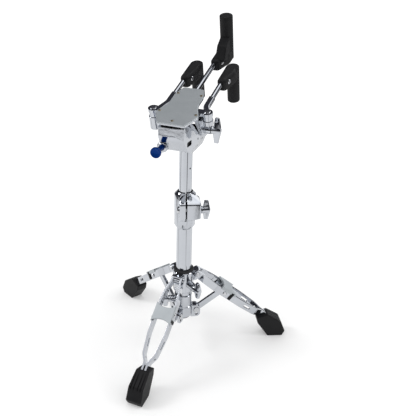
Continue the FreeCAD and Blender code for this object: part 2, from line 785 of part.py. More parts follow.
def strap(side):
    line = [(-strap_height, strap_pivot_side), (strap_flare_start, strap_pivot_side),
            (strap_bow_place, strap_bow_side), (strap_flare_end, strap_wide_side),
            (strap_narrow_start, strap_wide_side), (strap_waist, strap_waist_side),
            (strap_toe_start, strap_toe_side), (strap_end, strap_toe_side)]
    line = [(along, side * across) for along, across in line]
    half = strap_height / 2
    strip = slab(bent_strip(line, strap_thickness, strap_bend_radius), on_plan(-half), ALONG_Z, strap_height)
    eye_round = half - round_play
    outline = [(-half, -half, eye_round), (strap_end, -half, strap_end_round),
               (strap_end, half, strap_end_round), (-half, half, eye_round)]
    reach = strap_wide_side + strap_thickness
    strip = strip.common(slab(outline, on_front(-reach), ALONG_Y, 2 * reach))
    slot_half = strap_slot_height / 2
    slot_round = slot_half - round_play
    slot_end = strap_slot_start + strap_slot_length
    slot = [(strap_slot_start, -slot_half, slot_round), (slot_end, -slot_half, slot_round),
            (slot_end, slot_half, slot_round), (strap_slot_start, slot_half, slot_round)]
    strip = strip.cut(slab(slot, on_front(-reach), ALONG_Y, 2 * reach))
    pin_hole_radius = pivot_pin_radius + running_fit
    holes = {0: pin_hole_radius, brace_knee: pin_hole_radius, strap_hole_place: strap_hole_radius}
    for along, radius in holes.items():
        strip = strip.cut(cylinder(radius, (along, -reach, 0), ALONG_Y, 2 * reach))
    return strip


def strap_pads(leg_bridge):
    pads = []
    for side in (-1, 1):
        near = side * strap_outer_side
        far = side * (strap_outer_side + pad_thickness)
        pad = box((pad_start, min(near, far), pad_bottom), (pad_start + pad_length, max(near, far), pad_top))
        pads.append(pad.cut(leg_bridge))
    return Part.makeCompound(pads)


def bridge():
    half = strap_outer_side + bridge_lip
    end = bridge_start + bridge_length
    bottom = strap_height / 2
    top = bottom + bridge_thickness
    plate = box((bridge_start, -half, bottom - bridge_lip_drop), (end, half, top))
    plate = plate.cut(box((bridge_start, -strap_outer_side, 0), (end, strap_outer_side, bottom)))
    scoop_radius = (half ** 2 + bridge_waist ** 2) / (2 * bridge_waist)
    for centre in (bridge_start + bridge_waist - scoop_radius, end - bridge_waist + scoop_radius):
        plate = plate.cut(cylinder(scoop_radius, (centre, 0, 0), ALONG_Z, 2 * top))
    rims = edges_along(plate, lambda edge: edge.BoundBox.ZLength < 0.01 and edge.CenterOfMass.z > top - 0.01)
    pieces = [plate.makeFillet(bridge_edge_round, rims)]
    ear_start = brace_knee - bridge_ear_length / 2
    ear_end = brace_knee + bridge_ear_length / 2
    ear = [(ear_start, bottom + bridge_thickness / 2), (ear_start, -bridge_ear_drop, bridge_ear_round),
           (ear_end, -bridge_ear_drop, bridge_ear_round), (ear_end, bottom + bridge_thickness / 2)]
    for side in (-ear_outer, ear_inner):
        pieces.append(slab(ear, on_front(side), ALONG_Y, clevis_ear_thickness))
    return joined(pieces).cut(bore(pivot_pin_radius, (brace_knee, -half, 0), ALONG_Y, 2 * half))


def foot(straps):
    profile = [(strap_end_radius + corner[0],) + corner[1:] for corner in foot_profile]
    block = slab(profile, on_front(-foot_toe_half_width), ALONG_Y, 2 * foot_toe_half_width)
    heel_radius = strap_end_radius + foot_heel_place
    toe_radius = strap_end_radius + foot_toe_place
    half_plan = [(foot_heel_half_width, heel_radius), (foot_toe_half_width, toe_radius)]
    plan = [(radius, side) for side, radius in mirrored_outline(half_plan)]
    block = block.common(slab(plan, on_plan(-1), ALONG_Z, leg_pivot_height))
    rims = edges_along(block, lambda edge: edge.CenterOfMass.z > 2 and abs(edge.CenterOfMass.y) > 5)
    block = block.makeFillet(foot_edge_round, rims)
    for side in foot_groove_sides:
        groove = box((foot_groove_start, side - foot_groove_width / 2, foot_crown - foot_groove_depth),
                     (foot_groove_end, side + foot_groove_width / 2, foot_crown + foot_groove_height))
        block = block.cut(place_leg(groove, 0))
    for shape in straps:
        block = block.cut(place_leg(shape, 0))
    return block


def brace():
    half = brace_height / 2
    bar = box((leg_pivot_radius, -brace_width / 2, hub_pivot_height - half),
              (leg_pivot_radius + brace_knee, brace_width / 2, hub_pivot_height + half))
    pieces = [bar]
    for place in (leg_pivot_radius, leg_pivot_radius + brace_knee):
        eye_start = (place, -brace_width / 2, hub_pivot_height)
        pieces.append(cylinder(brace_eye_radius, eye_start, ALONG_Y, brace_width))
    whole = joined(pieces)
    for place in (leg_pivot_radius, leg_pivot_radius + brace_knee):
        whole = whole.cut(bore(pivot_pin_radius, (place, -brace_width, hub_pivot_height),
                               ALONG_Y, 2 * brace_width))
    whole.rotate(Vector(leg_pivot_radius, 0, hub_pivot_height), Vector(*ALONG_Y), -leg_pitch)
    return whole


def make_legs():
    left_strap = strap(1)
    right_strap = strap(-1)
    leg_bridge = bridge()
    pads = strap_pads(leg_bridge)
    rubber = foot((left_strap, right_strap))
    bar = brace()
    hub_grip = ear_outer + side_gap
    knee_grip = strap_outer_side + side_gap
    rivets = Part.makeCompound([headed_pin(hub_grip, hub_pin_head_radius, leg_pivot_radius, hub_pivot_height),
                                headed_pin(knee_grip, knee_pin_head_radius, knee_radius, knee_height)])
    for leg, turn in leg_turns.items():
        keep(leg + "_leg_left_strap", place_leg(left_strap, turn))
        keep(leg + "_leg_right_strap", place_leg(right_strap, turn))
        keep(leg + "_leg_bridge", place_leg(leg_bridge, turn))
        keep(leg + "_leg_pads", place_leg(pads, turn))
        keep(leg + "_leg_foot", turned_about_z(rubber, turn))
        keep(leg + "_brace", turned_about_z(bar, turn))
        keep(leg + "_brace_rivets", turned_about_z(rivets, turn))


# The tilter and the release are drawn about the tilt axis and then raised to its height
def raise_to_tilt_axis(shape):
    raised = shape.copy()
    raised.translate(Vector(0, 0, tilt_height))
    return raised


def tilter_block(side, plan, front):
    """What three outlines have in common: one seen from the side, one from above and one from the front."""
    width = 4 * tilter_half_width
    length = plan[-1][1] - plan[0][1]
    height = tilter_mouth - tilter_bottom
    block = slab(side, on_side(-width / 2), ALONG_X, width)
    block = block.common(slab(mirrored_outline(plan), on_plan(tilter_bottom), ALONG_Z, height))
    return block.common(slab(mirrored_outline(front), on_front(plan[0][1]), ALONG_Y, length))


# Tilter casting, open at the top, with the tilt bolt through its sides
def make_tilter():
    inner_plan = [(x - tilter_wall, y + tilter_nose_wall) for x, y in tilter_plan]
    inner_front = [(x - tilter_wall, z) for x, z in tilter_front]
    outside = tilter_block(tilter_side, tilter_plan, tilter_front)
    casting = outside.cut(tilter_block(tilter_inside, inner_plan, inner_front))
    pieces = [casting]
    boss_start = tilter_half_width - tilter_wall - tilt_boss_depth / 2
    boss_length = tilter_half_width - boss_start
    for x in (-tilter_half_width, boss_start):
        pieces.append(cylinder(tilt_boss_radius, (x, 0, 0), ALONG_X, boss_length))
    pieces.append(cylinder(guide_boss_radius, (button_side, guide_flange_back, button_height), ALONG_Y,
                           guide_boss_back - guide_flange_back))
    pillar_front = rocker_place - rocker_pillar_length / 2
    pillar_top = rocker_height + rocker_pillar_above_shaft
    left_pillar = rocker_left_end + rocker_pillar_grip - rocker_pillar_width
    right_pillar = rocker_right_end - rocker_pillar_grip
    for x in (left_pillar, right_pillar):
        pieces.append(box((x, pillar_front, tilter_floor - rocker_pillar_root),
                          (x + rocker_pillar_width, pillar_front + rocker_pillar_length, pillar_top)))
    whole = joined(pieces)
    guide_room = guide_back + clear_gap - guide_flange_back
    bores = [bore(upper_tube_radius, (0, 0, tilter_bottom - 1), ALONG_Z, 1 - upper_tube_drop - tilter_bottom),
             cylinder(upper_bore, (0, 0, tilter_bottom), ALONG_Z, tilter_floor - tilter_bottom + 1),
             bore(tilt_bolt_radius, (-2 * tilter_half_width, 0, 0), ALONG_X, 4 * tilter_half_width),
             bore(guide_radius, (button_side, guide_flange_back - 1, button_height), ALONG_Y, guide_room + 1),
             cylinder(stem_radius + clear_gap, (button_side, guide_flange_back, button_height), ALONG_Y,
                      stem_room_back - guide_flange_back),
             cylinder(guide_flange_radius + side_gap, (button_side, button_face, button_height), ALONG_Y,
                      guide_flange_back - button_face),
             bore(rocker_shaft_radius, (rocker_left_end - side_gap, rocker_place, rocker_height), ALONG_X,
                  rocker_right_end - rocker_left_end + 2 * side_gap)]
    for room in bores:
        whole = whole.cut(room)
    face = tilter_side[0][0]
    panel = box((panel_left, face - 1, panel_bottom), (panel_right, face + panel_inset, panel_top))
    corner = slab([(tilter_corner_start, face), (tilter_corner_side, face),
                   (tilter_corner_side, face + tilter_corner_depth)],
                  on_plan(tilter_bottom), ALONG_Z, tilter_mouth - tilter_bottom)
    pocket_end = pocket_start + pocket_length
    pocket_top = pocket_bottom + pocket_height
    pocket = [(pocket_start, pocket_bottom, pocket_round), (pocket_end, pocket_bottom, pocket_round),
              (pocket_end, pocket_top, pocket_round), (pocket_start, pocket_top, pocket_round)]
    whole = whole.cut(panel).cut(corner)
    whole = whole.cut(slab(pocket, on_side(side_pocket_floor), ALONG_X, tilter_half_width))
    for y, z in side_hole_places:
        whole = whole.cut(cylinder(side_hole_radius, (side_pocket_floor, y, z), ALONG_X, tilter_half_width))
    keep("tilter_casting", raise_to_tilt_axis(whole))

    bolt_start = -cheek_outer - side_gap
    nut_seat = cheek_outer + tilt_boss_length + side_gap
    bolt_end = nut_seat + wing_hub_length - wing_bore_floor - bolt_end_gap
    head_start = bolt_start - tilt_bolt_head_height
    bolt = turned([(head_start, tilt_bolt_head_radius - tilt_bolt_crown_inset),
                   (head_start + tilt_bolt_crown, tilt_bolt_head_radius),
                   (bolt_start, tilt_bolt_head_radius), (bolt_start, tilt_bolt_radius),
                   (bolt_end - chamfer, tilt_bolt_radius), (bolt_end, tilt_bolt_radius - chamfer)],
                  direction=ALONG_X)
    keep("tilt_bolt", raise_to_tilt_axis(bolt))
    nut = wing_nut(tilt_wing_span, tilt_bolt_radius)
    nut.translate(Vector(nut_seat, 0, 0))
    keep("tilt_wing_nut", raise_to_tilt_axis(nut))


def make_release():
    start = (button_side, 0, button_height)
    rim_end = button_face + button_rim
    knob = turned([(button_face, button_radius - button_dome_inset),
                   (button_face + button_dome, button_radius - button_dome),
                   (button_face + button_dome_inset, button_radius), (rim_end, button_radius),
                   (rim_end + chamfer, button_radius - chamfer),
                   (button_cone_end, button_neck_radius), (button_neck_end, button_neck_radius)],
                  start, ALONG_Y)
    stem_bore = bore(stem_radius, (button_side, stem_seat, button_height), ALONG_Y,
                     button_neck_end - stem_seat + 1)
    keep("release_button", raise_to_tilt_axis(knob.cut(stem_bore)))
    stem_tip = rocker_place - rocker_arm_radius - side_gap
    stem = turned([(stem_seat, stem_radius), (stem_tip - stem_point_length, stem_radius),
                   (stem_tip, stem_point_radius)], start, ALONG_Y)
    keep("button_stem", raise_to_tilt_axis(stem))
    pocket_floor = guide_flange_front + guide_pocket_depth
    pocket_radius = button_neck_radius + guide_pocket_play
    guide = turned([(guide_flange_front, guide_flange_radius - chamfer),
                    (guide_flange_front + chamfer, guide_flange_radius),
                    (guide_flange_back, guide_flange_radius), (guide_flange_back, guide_radius),
                    (guide_back, guide_radius)], start, ALONG_Y)
    guide = guide.cut(cylinder(pocket_radius, (button_side, guide_flange_front - 1, button_height), ALONG_Y,
                               guide_pocket_depth + 1))
    guide = guide.cut(bore(stem_radius, (button_side, pocket_floor - 1, button_height), ALONG_Y,
                           guide_back - pocket_floor + 2))
    keep("button_guide", raise_to_tilt_axis(guide))
    spring_start = button_neck_end + side_gap
    spring_length = pocket_floor - side_gap - spring_start
    spring_bore = stem_radius + side_gap
    spring_place = (button_side, spring_start, button_height)
    spring = cylinder(spring_bore + spring_wall, spring_place, ALONG_Y, spring_length)
    spring = spring.cut(cylinder(spring_bore, spring_place, ALONG_Y, spring_length))
    keep("button_spring", raise_to_tilt_axis(spring))

    shaft = cylinder(rocker_shaft_radius, (rocker_left_end, rocker_place, rocker_height), ALONG_X,
                     rocker_right_end - rocker_left_end)
    radius = rocker_arm_radius
    half = rocker_arm_width / 2
    front = rocker_place - radius
    back = rocker_place + radius
    top = rocker_height + radius
    toe = button_height - rocker_toe_below_stem
    pressed = [(front, toe, rocker_toe_round), (back, toe, rocker_toe_round),
               (back, top, rocker_top_round), (front, top, rocker_top_round)]
    underside = valve_pin_top - tilt_height + side_gap
    tip = rocker_place - rocker_reach
    pressing = [(tip, underside, rocker_toe_round), (back, underside, rocker_toe_round),
                (back, top, rocker_top_round), (tip + rocker_reach / 2, rocker_height, rocker_top_round),
                (tip, underside + rocker_tip_height, rocker_toe_round)]
    rocker = joined([shaft, slab(pressed, on_side(button_side - half), ALONG_X, rocker_arm_width),
                     slab(pressing, on_side(-half), ALONG_X, rocker_arm_width)])
    keep("release_rocker", raise_to_tilt_axis(rocker))


# The basket is drawn level about its tilt axis and then pitched to its place
def place_basket(shape):
    placed = shape.copy()
    placed.rotate(Vector(0, 0, 0), Vector(*ALONG_X), basket_pitch)
    placed.translate(Vector(0, 0, tilt_height))
    return placed


def make_basket():
    outline = mirrored_outline(cover_half_outline)
    plate = slab(outline, on_plan(frame_bottom), ALONG_Z, frame_plate_thickness)
    beam = box((-frame_beam_half_width, frame_beam_start, frame_beam_bottom),
               (frame_beam_half_width, frame_beam_end, frame_bottom + 1))
    undersides = edges_along(beam, lambda edge: edge.CenterOfMass.z < frame_beam_bottom + 1)
    beam = beam.makeFillet(frame_beam_round, undersides)
    pieces = [plate, beam]
    web = hinge_web_width / 2
    for side in (-1, 1):
        start = min(side * cheek_inner, side * cheek_outer)
        pieces.append(slab(cheek_outline, on_side(start), ALONG_X, cheek_thickness))
        pieces.append(cylinder(cheek_eye_radius, (start, 0, 0), ALONG_X, cheek_thickness))
        centre = side * hinge_side
        place = hinge_places[side]
        lug_spans = ((arm_eye_top + side_gap, frame_top, hinge_upper_web_inner),
                     (hinge_lug_bottoms[side], arm_eye_bottom - side_gap, hinge_lower_web_inner))
        for bottom, top, inner in lug_spans:
            pieces.append(cylinder(hinge_lug_radius, (centre, place, bottom), ALONG_Z, top - bottom))
            pieces.append(box((min(centre, side * inner), place - web, bottom),
                              (max(centre, side * inner), place + web, top)))
    pieces.append(cylinder(tilt_nut_boss_radius, (cheek_outer, 0, 0), ALONG_X, tilt_boss_length))
    frame = joined(pieces)
    bores = [bore(tilt_bolt_radius, (-2 * cheek_outer, 0, 0), ALONG_X, 4 * cheek_outer),
             bore(arm_rod_radius, (0, frame_beam_start - 1, arm_height), ALONG_Y,
                  frame_beam_end - frame_beam_start + 2)]
    for side in (-1, 1):
        bores.append(bore(hinge_pin_radius, (side * hinge_side, hinge_places[side], 0), ALONG_Z, cover_top))
    for x, y in cover_screw_places:
        bores.append(bore(cover_screw_radius, (x, y, frame_bottom - 1), ALONG_Z, cover_top))
    for room in bores:
        frame = frame.cut(room)
    keep("basket_frame", place_basket(frame))

    cover = slab(outline, on_plan(frame_top), ALONG_Z, cover_thickness)
    rims = edges_along(cover, lambda edge: edge.CenterOfMass.z > cover_top - 0.01)
    cover = cover.makeFillet(cover_edge_round, rims)
    screws = []
    for x, y in cover_screw_places:
        cover = cover.cut(bore(cover_screw_radius, (x, y, frame_top - 1), ALONG_Z, cover_thickness + 2))
        head_top = cover_top + cover_screw_head_height
        screws.append(turned([(frame_bottom, cover_screw_radius), (cover_top, cover_screw_radius),
                              (cover_top, cover_screw_head_radius),
                              (head_top - small_chamfer, cover_screw_head_radius),
                              (head_top, cover_screw_head_radius - chamfer)], (x, y, 0)))
    keep("cover_plate", place_basket(cover))
    keep("cover_screws", place_basket(Part.makeCompound(screws)))

    pins = []
    for side in (-1, 1):
        top = frame_top
        bottom = hinge_lug_bottoms[side]
        head = hinge_pin_head_radius
        rim = hinge_pin_head_rim
        crown = hinge_pin_head_height
        pins.append(turned([(bottom - crown, head - chamfer), (bottom - rim, head), (bottom, head),
                            (bottom, hinge_pin_radius), (top, hinge_pin_radius),
                            (top, head), (top + rim, head), (top + crown, head - chamfer)],
                           (side * hinge_side, hinge_places[side], 0)))
    keep("arm_hinge_pins", place_basket(Part.makeCompound(pins)))


def arm_end(grip_place):
    return grip_place + grip_bore_depth - 1


def side_arm(side, grip_place):
    line = [(side * hinge_side, hinge_places[side]), (side * arm_side, arm_bar_start),
            (side * arm_side, arm_bar_end)]
    strip = bent_strip(line, arm_bar_width, arm_bend_radius)
    bar = slab(strip, on_plan(arm_eye_bottom), ALONG_Z, arm_eye_height)
    rims = edges_along(bar, lambda edge: edge.BoundBox.ZLength < 0.01)
    bar = bar.makeFillet(arm_edge_round, rims)
    eye = cylinder(arm_eye_radius, (side * hinge_side, hinge_places[side], arm_eye_bottom), ALONG_Z,
                   arm_eye_height)
    rod = turned([(arm_bar_start, arm_rod_root_radius), (arm_bar_end, arm_rod_radius),
                  (arm_end(grip_place), arm_rod_radius)], (side * arm_side, 0, arm_height), ALONG_Y)
    hole = bore(hinge_pin_radius, (side * hinge_side, hinge_places[side], 0), ALONG_Z, cover_top)
    return joined([bar, eye, rod]).cut(hole)


def head_right(post_side, post_radius):
    return post_side + post_radius - grip_head_inset


def slanted_side(right):
    """The direction square to a grip's slanted side, and that side's distance from the rod along it."""
    way = Vector(grip_shoulder, grip_mouth_right - right, 0).normalize()
    return way, grip_mouth_right * way.x - grip_screw_place * way.y


def grip(post_side, post_radius, post_low, post_high, braced):
    """A rubber grip on a rod along +Y, with its mouth at the origin and its post along Z."""
    length = grip_post_place + post_radius - grip_head_inset
    right = head_right(post_side, post_radius)
    plan = [(-grip_left, 0, grip_mouth_round), (grip_mouth_right, 0, grip_mouth_round),
            (right, grip_shoulder, grip_shoulder_round), (right, length, grip_end_round),
            (-grip_left, length, grip_end_round)]
    head = slab(plan, on_plan(-grip_below), ALONG_Z, grip_below + grip_above)
    crown = edges_along(head, lambda edge: edge.BoundBox.ZMin > grip_above - 0.01)
    head = head.makeFillet(grip_crown_round, crown)
    foot_edges = edges_along(head, lambda edge: edge.BoundBox.ZMax < 0.01 - grip_below)
    head = head.makeFillet(grip_edge_round, foot_edges)
    post = cylinder(post_radius, (post_side, grip_post_place, post_low), ALONG_Z, post_high - post_low)
    post = post.makeFillet(grip_edge_round, edges_along(post, lambda edge: edge.BoundBox.ZLength < 0.01))
    pieces = [head, post]
    if braced:
        pieces.append(gusset(post_side))
    whole = joined(pieces)
    whole = whole.cut(bore(arm_rod_radius, (0, -1, 0), ALONG_Y, grip_bore_depth + 1))
    way, reach = slanted_side(right)
    axis_point = Vector(0, grip_screw_place, 0)
    recess_floor = axis_point + way * (reach - grip_recess_depth)
    recess = cylinder(grip_recess_radius, recess_floor, way, 2 * grip_recess_radius)
    return whole.cut(recess).cut(bore(grip_screw_radius, axis_point, way, reach))


def gusset(middle):
    profile = [(gusset_start, 0), (grip_post_place, 0), (grip_post_place, gusset_high, gusset_high_round),
               (gusset_shoulder, gusset_low, gusset_low_round), (gusset_start, grip_above - grip_edge_round)]
    web = slab(profile, on_side(middle - gusset_half_width), ALONG_X, 2 * gusset_half_width)
    return web.makeFillet(grip_edge_round, edges_along(web, lambda edge: edge.BoundBox.XLength < 0.01))


def grip_screw(right):
    way, reach = slanted_side(right)
    seat = reach - grip_recess_depth
    end = seat + grip_screw_head_height
    tip = (arm_rod_radius + side_gap - grip_screw_radius * way.y) / way.x
    return turned([(tip, grip_screw_radius), (seat, grip_screw_radius),
                   (seat, grip_screw_head_radius), (end - grip_screw_head_rim, grip_screw_head_radius),
                   (end, grip_screw_head_radius - chamfer)], (0, grip_screw_place, 0), way)


def make_arms():
    side_grip = grip(side_post_side, side_post_radius, -side_post_reach, grip_above, False)
    rear_grip = grip(rear_post_side, rear_post_radius, -grip_below, rear_post_reach, True)
    side_screw = grip_screw(head_right(side_post_side, side_post_radius))
    rear_screw = grip_screw(head_right(rear_post_side, rear_post_radius))
    places = {"left": (side_grip, side_screw, -arm_side, side_grip_places["left"]),
              "right": (side_grip, side_screw, arm_side, side_grip_places["right"]),
              "rear": (rear_grip, rear_screw, 0, rear_grip_place)}
    for name, (rubber, screw, across, along) in places.items():
        for node, piece in ((name + "_grip", rubber), (name + "_grip_screw", screw)):
            moved = piece.copy()
            moved.translate(Vector(across, along, arm_height))
            keep(node, place_basket(moved))
    keep("left_arm", place_basket(side_arm(-1, side_grip_places["left"])))
    keep("right_arm", place_basket(side_arm(1, side_grip_places["right"])))
    rear = turned([(rear_arm_start, arm_rod_radius - chamfer), (rear_arm_start + chamfer, arm_rod_radius),
                   (arm_end(rear_grip_place), arm_rod_radius)], (0, 0, arm_height), ALONG_Y)
    keep("rear_arm", place_basket(rear))


os.makedirs("parts", exist_ok=True)
make_tubes()
make_tube_plug()
make_gas_spring()
make_height_clamp()
make_brace_hub()
make_leg_collar()
make_legs()
make_tilter()
make_release()
make_basket()
make_arms()
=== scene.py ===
import math

import bpy
from mathutils import Matrix, Vector


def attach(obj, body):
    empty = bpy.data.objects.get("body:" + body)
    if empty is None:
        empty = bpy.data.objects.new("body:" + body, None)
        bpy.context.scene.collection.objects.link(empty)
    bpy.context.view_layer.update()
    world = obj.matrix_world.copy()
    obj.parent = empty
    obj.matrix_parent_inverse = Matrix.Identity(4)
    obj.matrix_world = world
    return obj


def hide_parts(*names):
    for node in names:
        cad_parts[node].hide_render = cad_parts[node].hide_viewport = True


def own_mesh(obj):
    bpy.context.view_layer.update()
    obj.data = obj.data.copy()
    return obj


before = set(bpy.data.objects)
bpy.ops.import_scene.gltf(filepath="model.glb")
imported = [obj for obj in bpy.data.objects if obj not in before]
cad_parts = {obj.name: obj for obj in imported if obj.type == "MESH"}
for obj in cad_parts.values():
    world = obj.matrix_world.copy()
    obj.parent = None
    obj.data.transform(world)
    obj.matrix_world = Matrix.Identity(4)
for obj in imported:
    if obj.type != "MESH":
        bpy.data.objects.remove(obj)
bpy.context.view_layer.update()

# Column tubes, arms and leg straps
# Drawn steel tube, round bar and flat strap under bright chrome plate. The plate is a mirror with
# faint hand marks in its gloss and a soft ripple left by the polishing wheel.
plate_dark = (0.5, 0.52, 0.56, 1)
plate_light = (0.57, 0.59, 0.62, 1)
plate_roughness = 0.03
smudge_size = 0.03
smudge_detail = 4.0
smudge_roughness = 0.05
haze_size = 0.004
haze_roughness = 0.02
# Painted shade: a dark, rough colour laid into the chrome where recesses and gaps fall into shade
painted_shade_colour = (0.012, 0.012, 0.013, 1)
painted_shade_roughness = 0.45
edge_samples = 6
drawn_skin = {"ripple_size": 0.05, "ripple_depth": 0.0001, "edge_round": 0.0004}
legs = ("front", "right", "left")


class Wire:
    """A shader socket that can be added, multiplied and subtracted like a number."""

    def __init__(self, tree, socket=None):
        self.tree = tree
        self.socket = socket

    def node(self, kind, settings, values, output=0):
        made = self.tree.nodes.new("ShaderNode" + kind)
        for name, value in settings.items():
            if name != "stops":
                setattr(made, name, value)
                continue
            stops = made.color_ramp.elements
            while len(stops) < len(value):
                stops.new(1.0)
            for stop, (place, colour) in zip(stops, value):
                stop.position = place
                stop.color = colour
        for name, value in values.items():
            if isinstance(value, Wire):
                self.tree.links.new(value.socket, made.inputs[name])
            else:
                made.inputs[name].default_value = value
        return Wire(self.tree, made.outputs[output] if made.outputs else None)

    def math(self, operation, first, second):
        return self.node("Math", {"operation": operation}, {0: first, 1: second})

    def __add__(self, other):
        return self.math("ADD", self, other)

    __radd__ = __add__

    def __mul__(self, other):
        return self.math("MULTIPLY", self, other)

    __rmul__ = __mul__

    def __sub__(self, other):
        return self.math("SUBTRACT", self, other)

    def __rsub__(self, other):
        return self.math("SUBTRACT", other, self)


def new_material(name):
    material = bpy.data.materials.new(name)
    material.use_nodes = True
    material.node_tree.nodes.clear()
    return material, Wire(material.node_tree)


def finish_surface(wire, values):
    shader = wire.node("BsdfPrincipled", {}, values)
    wire.node("OutputMaterial", {}, {"Surface": shader})


def place_on_piece(wire, scale=(1, 1, 1)):
    place = wire.node("TexCoord", {}, {}, "Object")
    return wire.node("Mapping", {}, {"Vector": place, "Scale": scale})


def noise(wire, place, size, detail=2.0):
    return wire.node("TexNoise", {}, {"Vector": place, "Scale": 1 / size, "Detail": detail})


def blend_colours(wire, amount, first, second):
    return wire.node("Mix", {"data_type": "RGBA"}, {0: amount, 6: first, 7: second}, 2)


def chrome(name, ripple_size, ripple_depth, edge_round, painted_shade=None):
    """Chrome plate. Where the optional mask gives 1, a dark, rougher colour is painted in as shade."""
    material, wire = new_material(name)
    place = place_on_piece(wire)
    smudge = noise(wire, place, smudge_size, smudge_detail)
    haze = noise(wire, place, haze_size)
    ripple = noise(wire, place, ripple_size)
    rounded = wire.node("Bevel", {"samples": edge_samples}, {"Radius": edge_round})
    bump = wire.node("Bump", {}, {"Strength": 1.0, "Distance": ripple_depth, "Height": ripple,
                                  "Normal": rounded})
    tint = blend_colours(wire, smudge, plate_dark, plate_light)
    gloss = plate_roughness + smudge_roughness * smudge + haze_roughness * haze
    # Painted shade: where the mask gives 1, the chrome is painted dark and rough
    if painted_shade:
        painted_dark = painted_shade(wire)
        tint = blend_colours(wire, painted_dark, tint, painted_shade_colour)
        gloss = gloss + painted_shade_roughness * painted_dark
    finish_surface(wire, {"Base Color": tint, "Metallic": 1.0, "Roughness": gloss, "Normal": bump})
    return material


def dress(material, *nodes):
    for node in nodes:
        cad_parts[node].material_slots[0].material = material


def on_each_leg(*endings):
    return [leg + ending for leg in legs for ending in endings]


drawn_chrome = chrome("drawn_chrome", **drawn_skin)
dress(drawn_chrome, "lower_tube", "upper_tube", "left_arm", "right_arm", "rear_arm")
dress(drawn_chrome, *on_each_leg("_leg_left_strap", "_leg_right_strap", "_brace"))

# Castings
# Zinc castings under chrome plate: the brace hub, the leg collar, the basket frame and the button's guide.
# The cast skin below the plate is a little wavy, so reflections break up on it.
cast_skin = {"ripple_size": 0.009, "ripple_depth": 0.0002, "edge_round": 0.0008}
cast_chrome = chrome("cast_chrome", **cast_skin)
dress(cast_chrome, "brace_hub", "leg_collar", "basket_frame", "button_guide")

# Tilter casting
# The same plate outside. Inside the hollow and in the pocket on its right the chrome is painted dark,
# as painted shade. The hollow's walls flare to the back and its front end slopes.
hollow_half_width = 0.0271
hollow_flare = 0.0947
hollow_widest = 0.0266
hollow_ends = (-0.077, 0.026)
hollow_heights = (0.46, 0.54)
hollow_front_slope = 1.46
hollow_front_height = 0.374
pocket_sides = (0.0215, 0.0245)
pocket_ends = (-0.0625, -0.0435)
pocket_heights = (0.468, 0.478)


def one_axis(wire, place, axis):
    return wire.node("SeparateXYZ", {}, {"Vector": place}, axis)


def between(wire, value, limits):
    low, high = limits
    return wire.math("GREATER_THAN", value, low) * wire.math("LESS_THAN", value, high)


# Mask of the painted shade inside the tilter's hollow and its side pocket
def tilter_hollow_shade(wire):
    place = wire.node("TexCoord", {}, {}, "Object")
    across = one_axis(wire, place, "X")
    along = one_axis(wire, place, "Y")
    height = one_axis(wire, place, "Z")
    wall = wire.math("MINIMUM", hollow_flare * along + hollow_half_width, hollow_widest)
    hollow = wire.math("GREATER_THAN", wall - wire.math("ABSOLUTE", across, 0.0), 0.0)
    hollow = hollow * between(wire, along, hollow_ends) * between(wire, height, hollow_heights)
    front_end = height + hollow_front_slope * along
    hollow = hollow * wire.math("GREATER_THAN", front_end, hollow_front_height)
    pocket = between(wire, across, pocket_sides) * between(wire, along, pocket_ends)
    pocket = pocket * between(wire, height, pocket_heights)
    return wire.math("MAXIMUM", hollow, pocket)


dress(chrome("tilter_chrome", **cast_skin, painted_shade=tilter_hollow_shade), "tilter_casting")

# Wing nuts and wing screws
# Cast in one with their hubs and chromed: two thick wings that thin out to their tips and end in blunt
# noses. Each is cut from a block, as its pattern was, with its axis along X, then turned and set on its seat.
wing_back = 0.003
wing_lean = 0.003
wing_nose = 0.008
wing_apex = 0.017
wing_apex_half = 0.006
wing_root_half = 0.0048
wing_tip_half = 0.0026
wing_edge_round = 0.0012
wing_edge_steps = 3
wing_edge_angle = math.radians(4)
hub_rings = ((0.0, 0.0068), (0.0007, 0.0075), (0.003, 0.0075), (0.005, 0.0064), (0.0165, 0.0052),
             (0.0178, 0.0042))
wing_screw_shank = 0.003
cut_play = 0.000001
sliver_width = 0.00002


def start_piece():
    bpy.ops.object.select_all(action="DESELECT")
    bpy.context.view_layer.objects.active = None


def slice_off(point, outward):
    bpy.ops.mesh.select_all(action="SELECT")
    bpy.ops.mesh.bisect(plane_co=point, plane_no=Vector(outward).normalized(), use_fill=True,
                        clear_outer=True, threshold=cut_play)


def apply_modifier(piece, kind, settings):
    modifier = piece.modifiers.new(kind.lower(), kind)
    for name, value in settings.items():
        setattr(modifier, name, value)
    bpy.context.view_layer.objects.active = piece
    bpy.ops.object.modifier_apply(modifier=modifier.name)


def combine(piece, operation, other):
    apply_modifier(piece, "BOOLEAN", {"operation": operation, "object": other, "solver": "EXACT"})
    bpy.data.objects.remove(other)


def settle(piece, material, crease_degrees=35):
    """Put the piece's place into its mesh, smooth it up to its creases and give it its material."""
    bpy.ops.object.select_all(action="DESELECT")
    piece.select_set(True)
    bpy.context.view_layer.objects.active = piece
    bpy.ops.object.transform_apply(location=True, rotation=True, scale=True)
    bpy.ops.object.shade_smooth_by_angle(angle=math.radians(crease_degrees))
    piece.data.materials.clear()
    piece.data.materials.append(material)


def lathe(name, rings, sides=48):
    """A turned piece along +X from rings of (along, radius), closed at both ends."""
    start_piece()
    along, radius = rings[0]
    bpy.ops.mesh.primitive_circle_add(vertices=sides, radius=radius, fill_type="NGON",
                                      location=(along, 0, 0), rotation=(0, math.pi / 2, 0))
    piece = bpy.context.object
    piece.name = name
    bpy.ops.object.transform_apply(location=True, rotation=True, scale=True)
    bpy.ops.object.mode_set(mode="EDIT")
    bpy.ops.mesh.select_all(action="SELECT")
    for (before, old_radius), (along, radius) in zip(rings, rings[1:]):
        bpy.ops.mesh.extrude_region_move(TRANSFORM_OT_translate={"value": (along - before, 0, 0)})
        grown = radius / old_radius
        bpy.ops.transform.resize(value=(1, grown, grown), center_override=(along, 0, 0))
    bpy.ops.mesh.select_all(action="SELECT")
    bpy.ops.mesh.normals_make_consistent(inside=False)
    bpy.ops.object.mode_set(mode="OBJECT")
    return piece


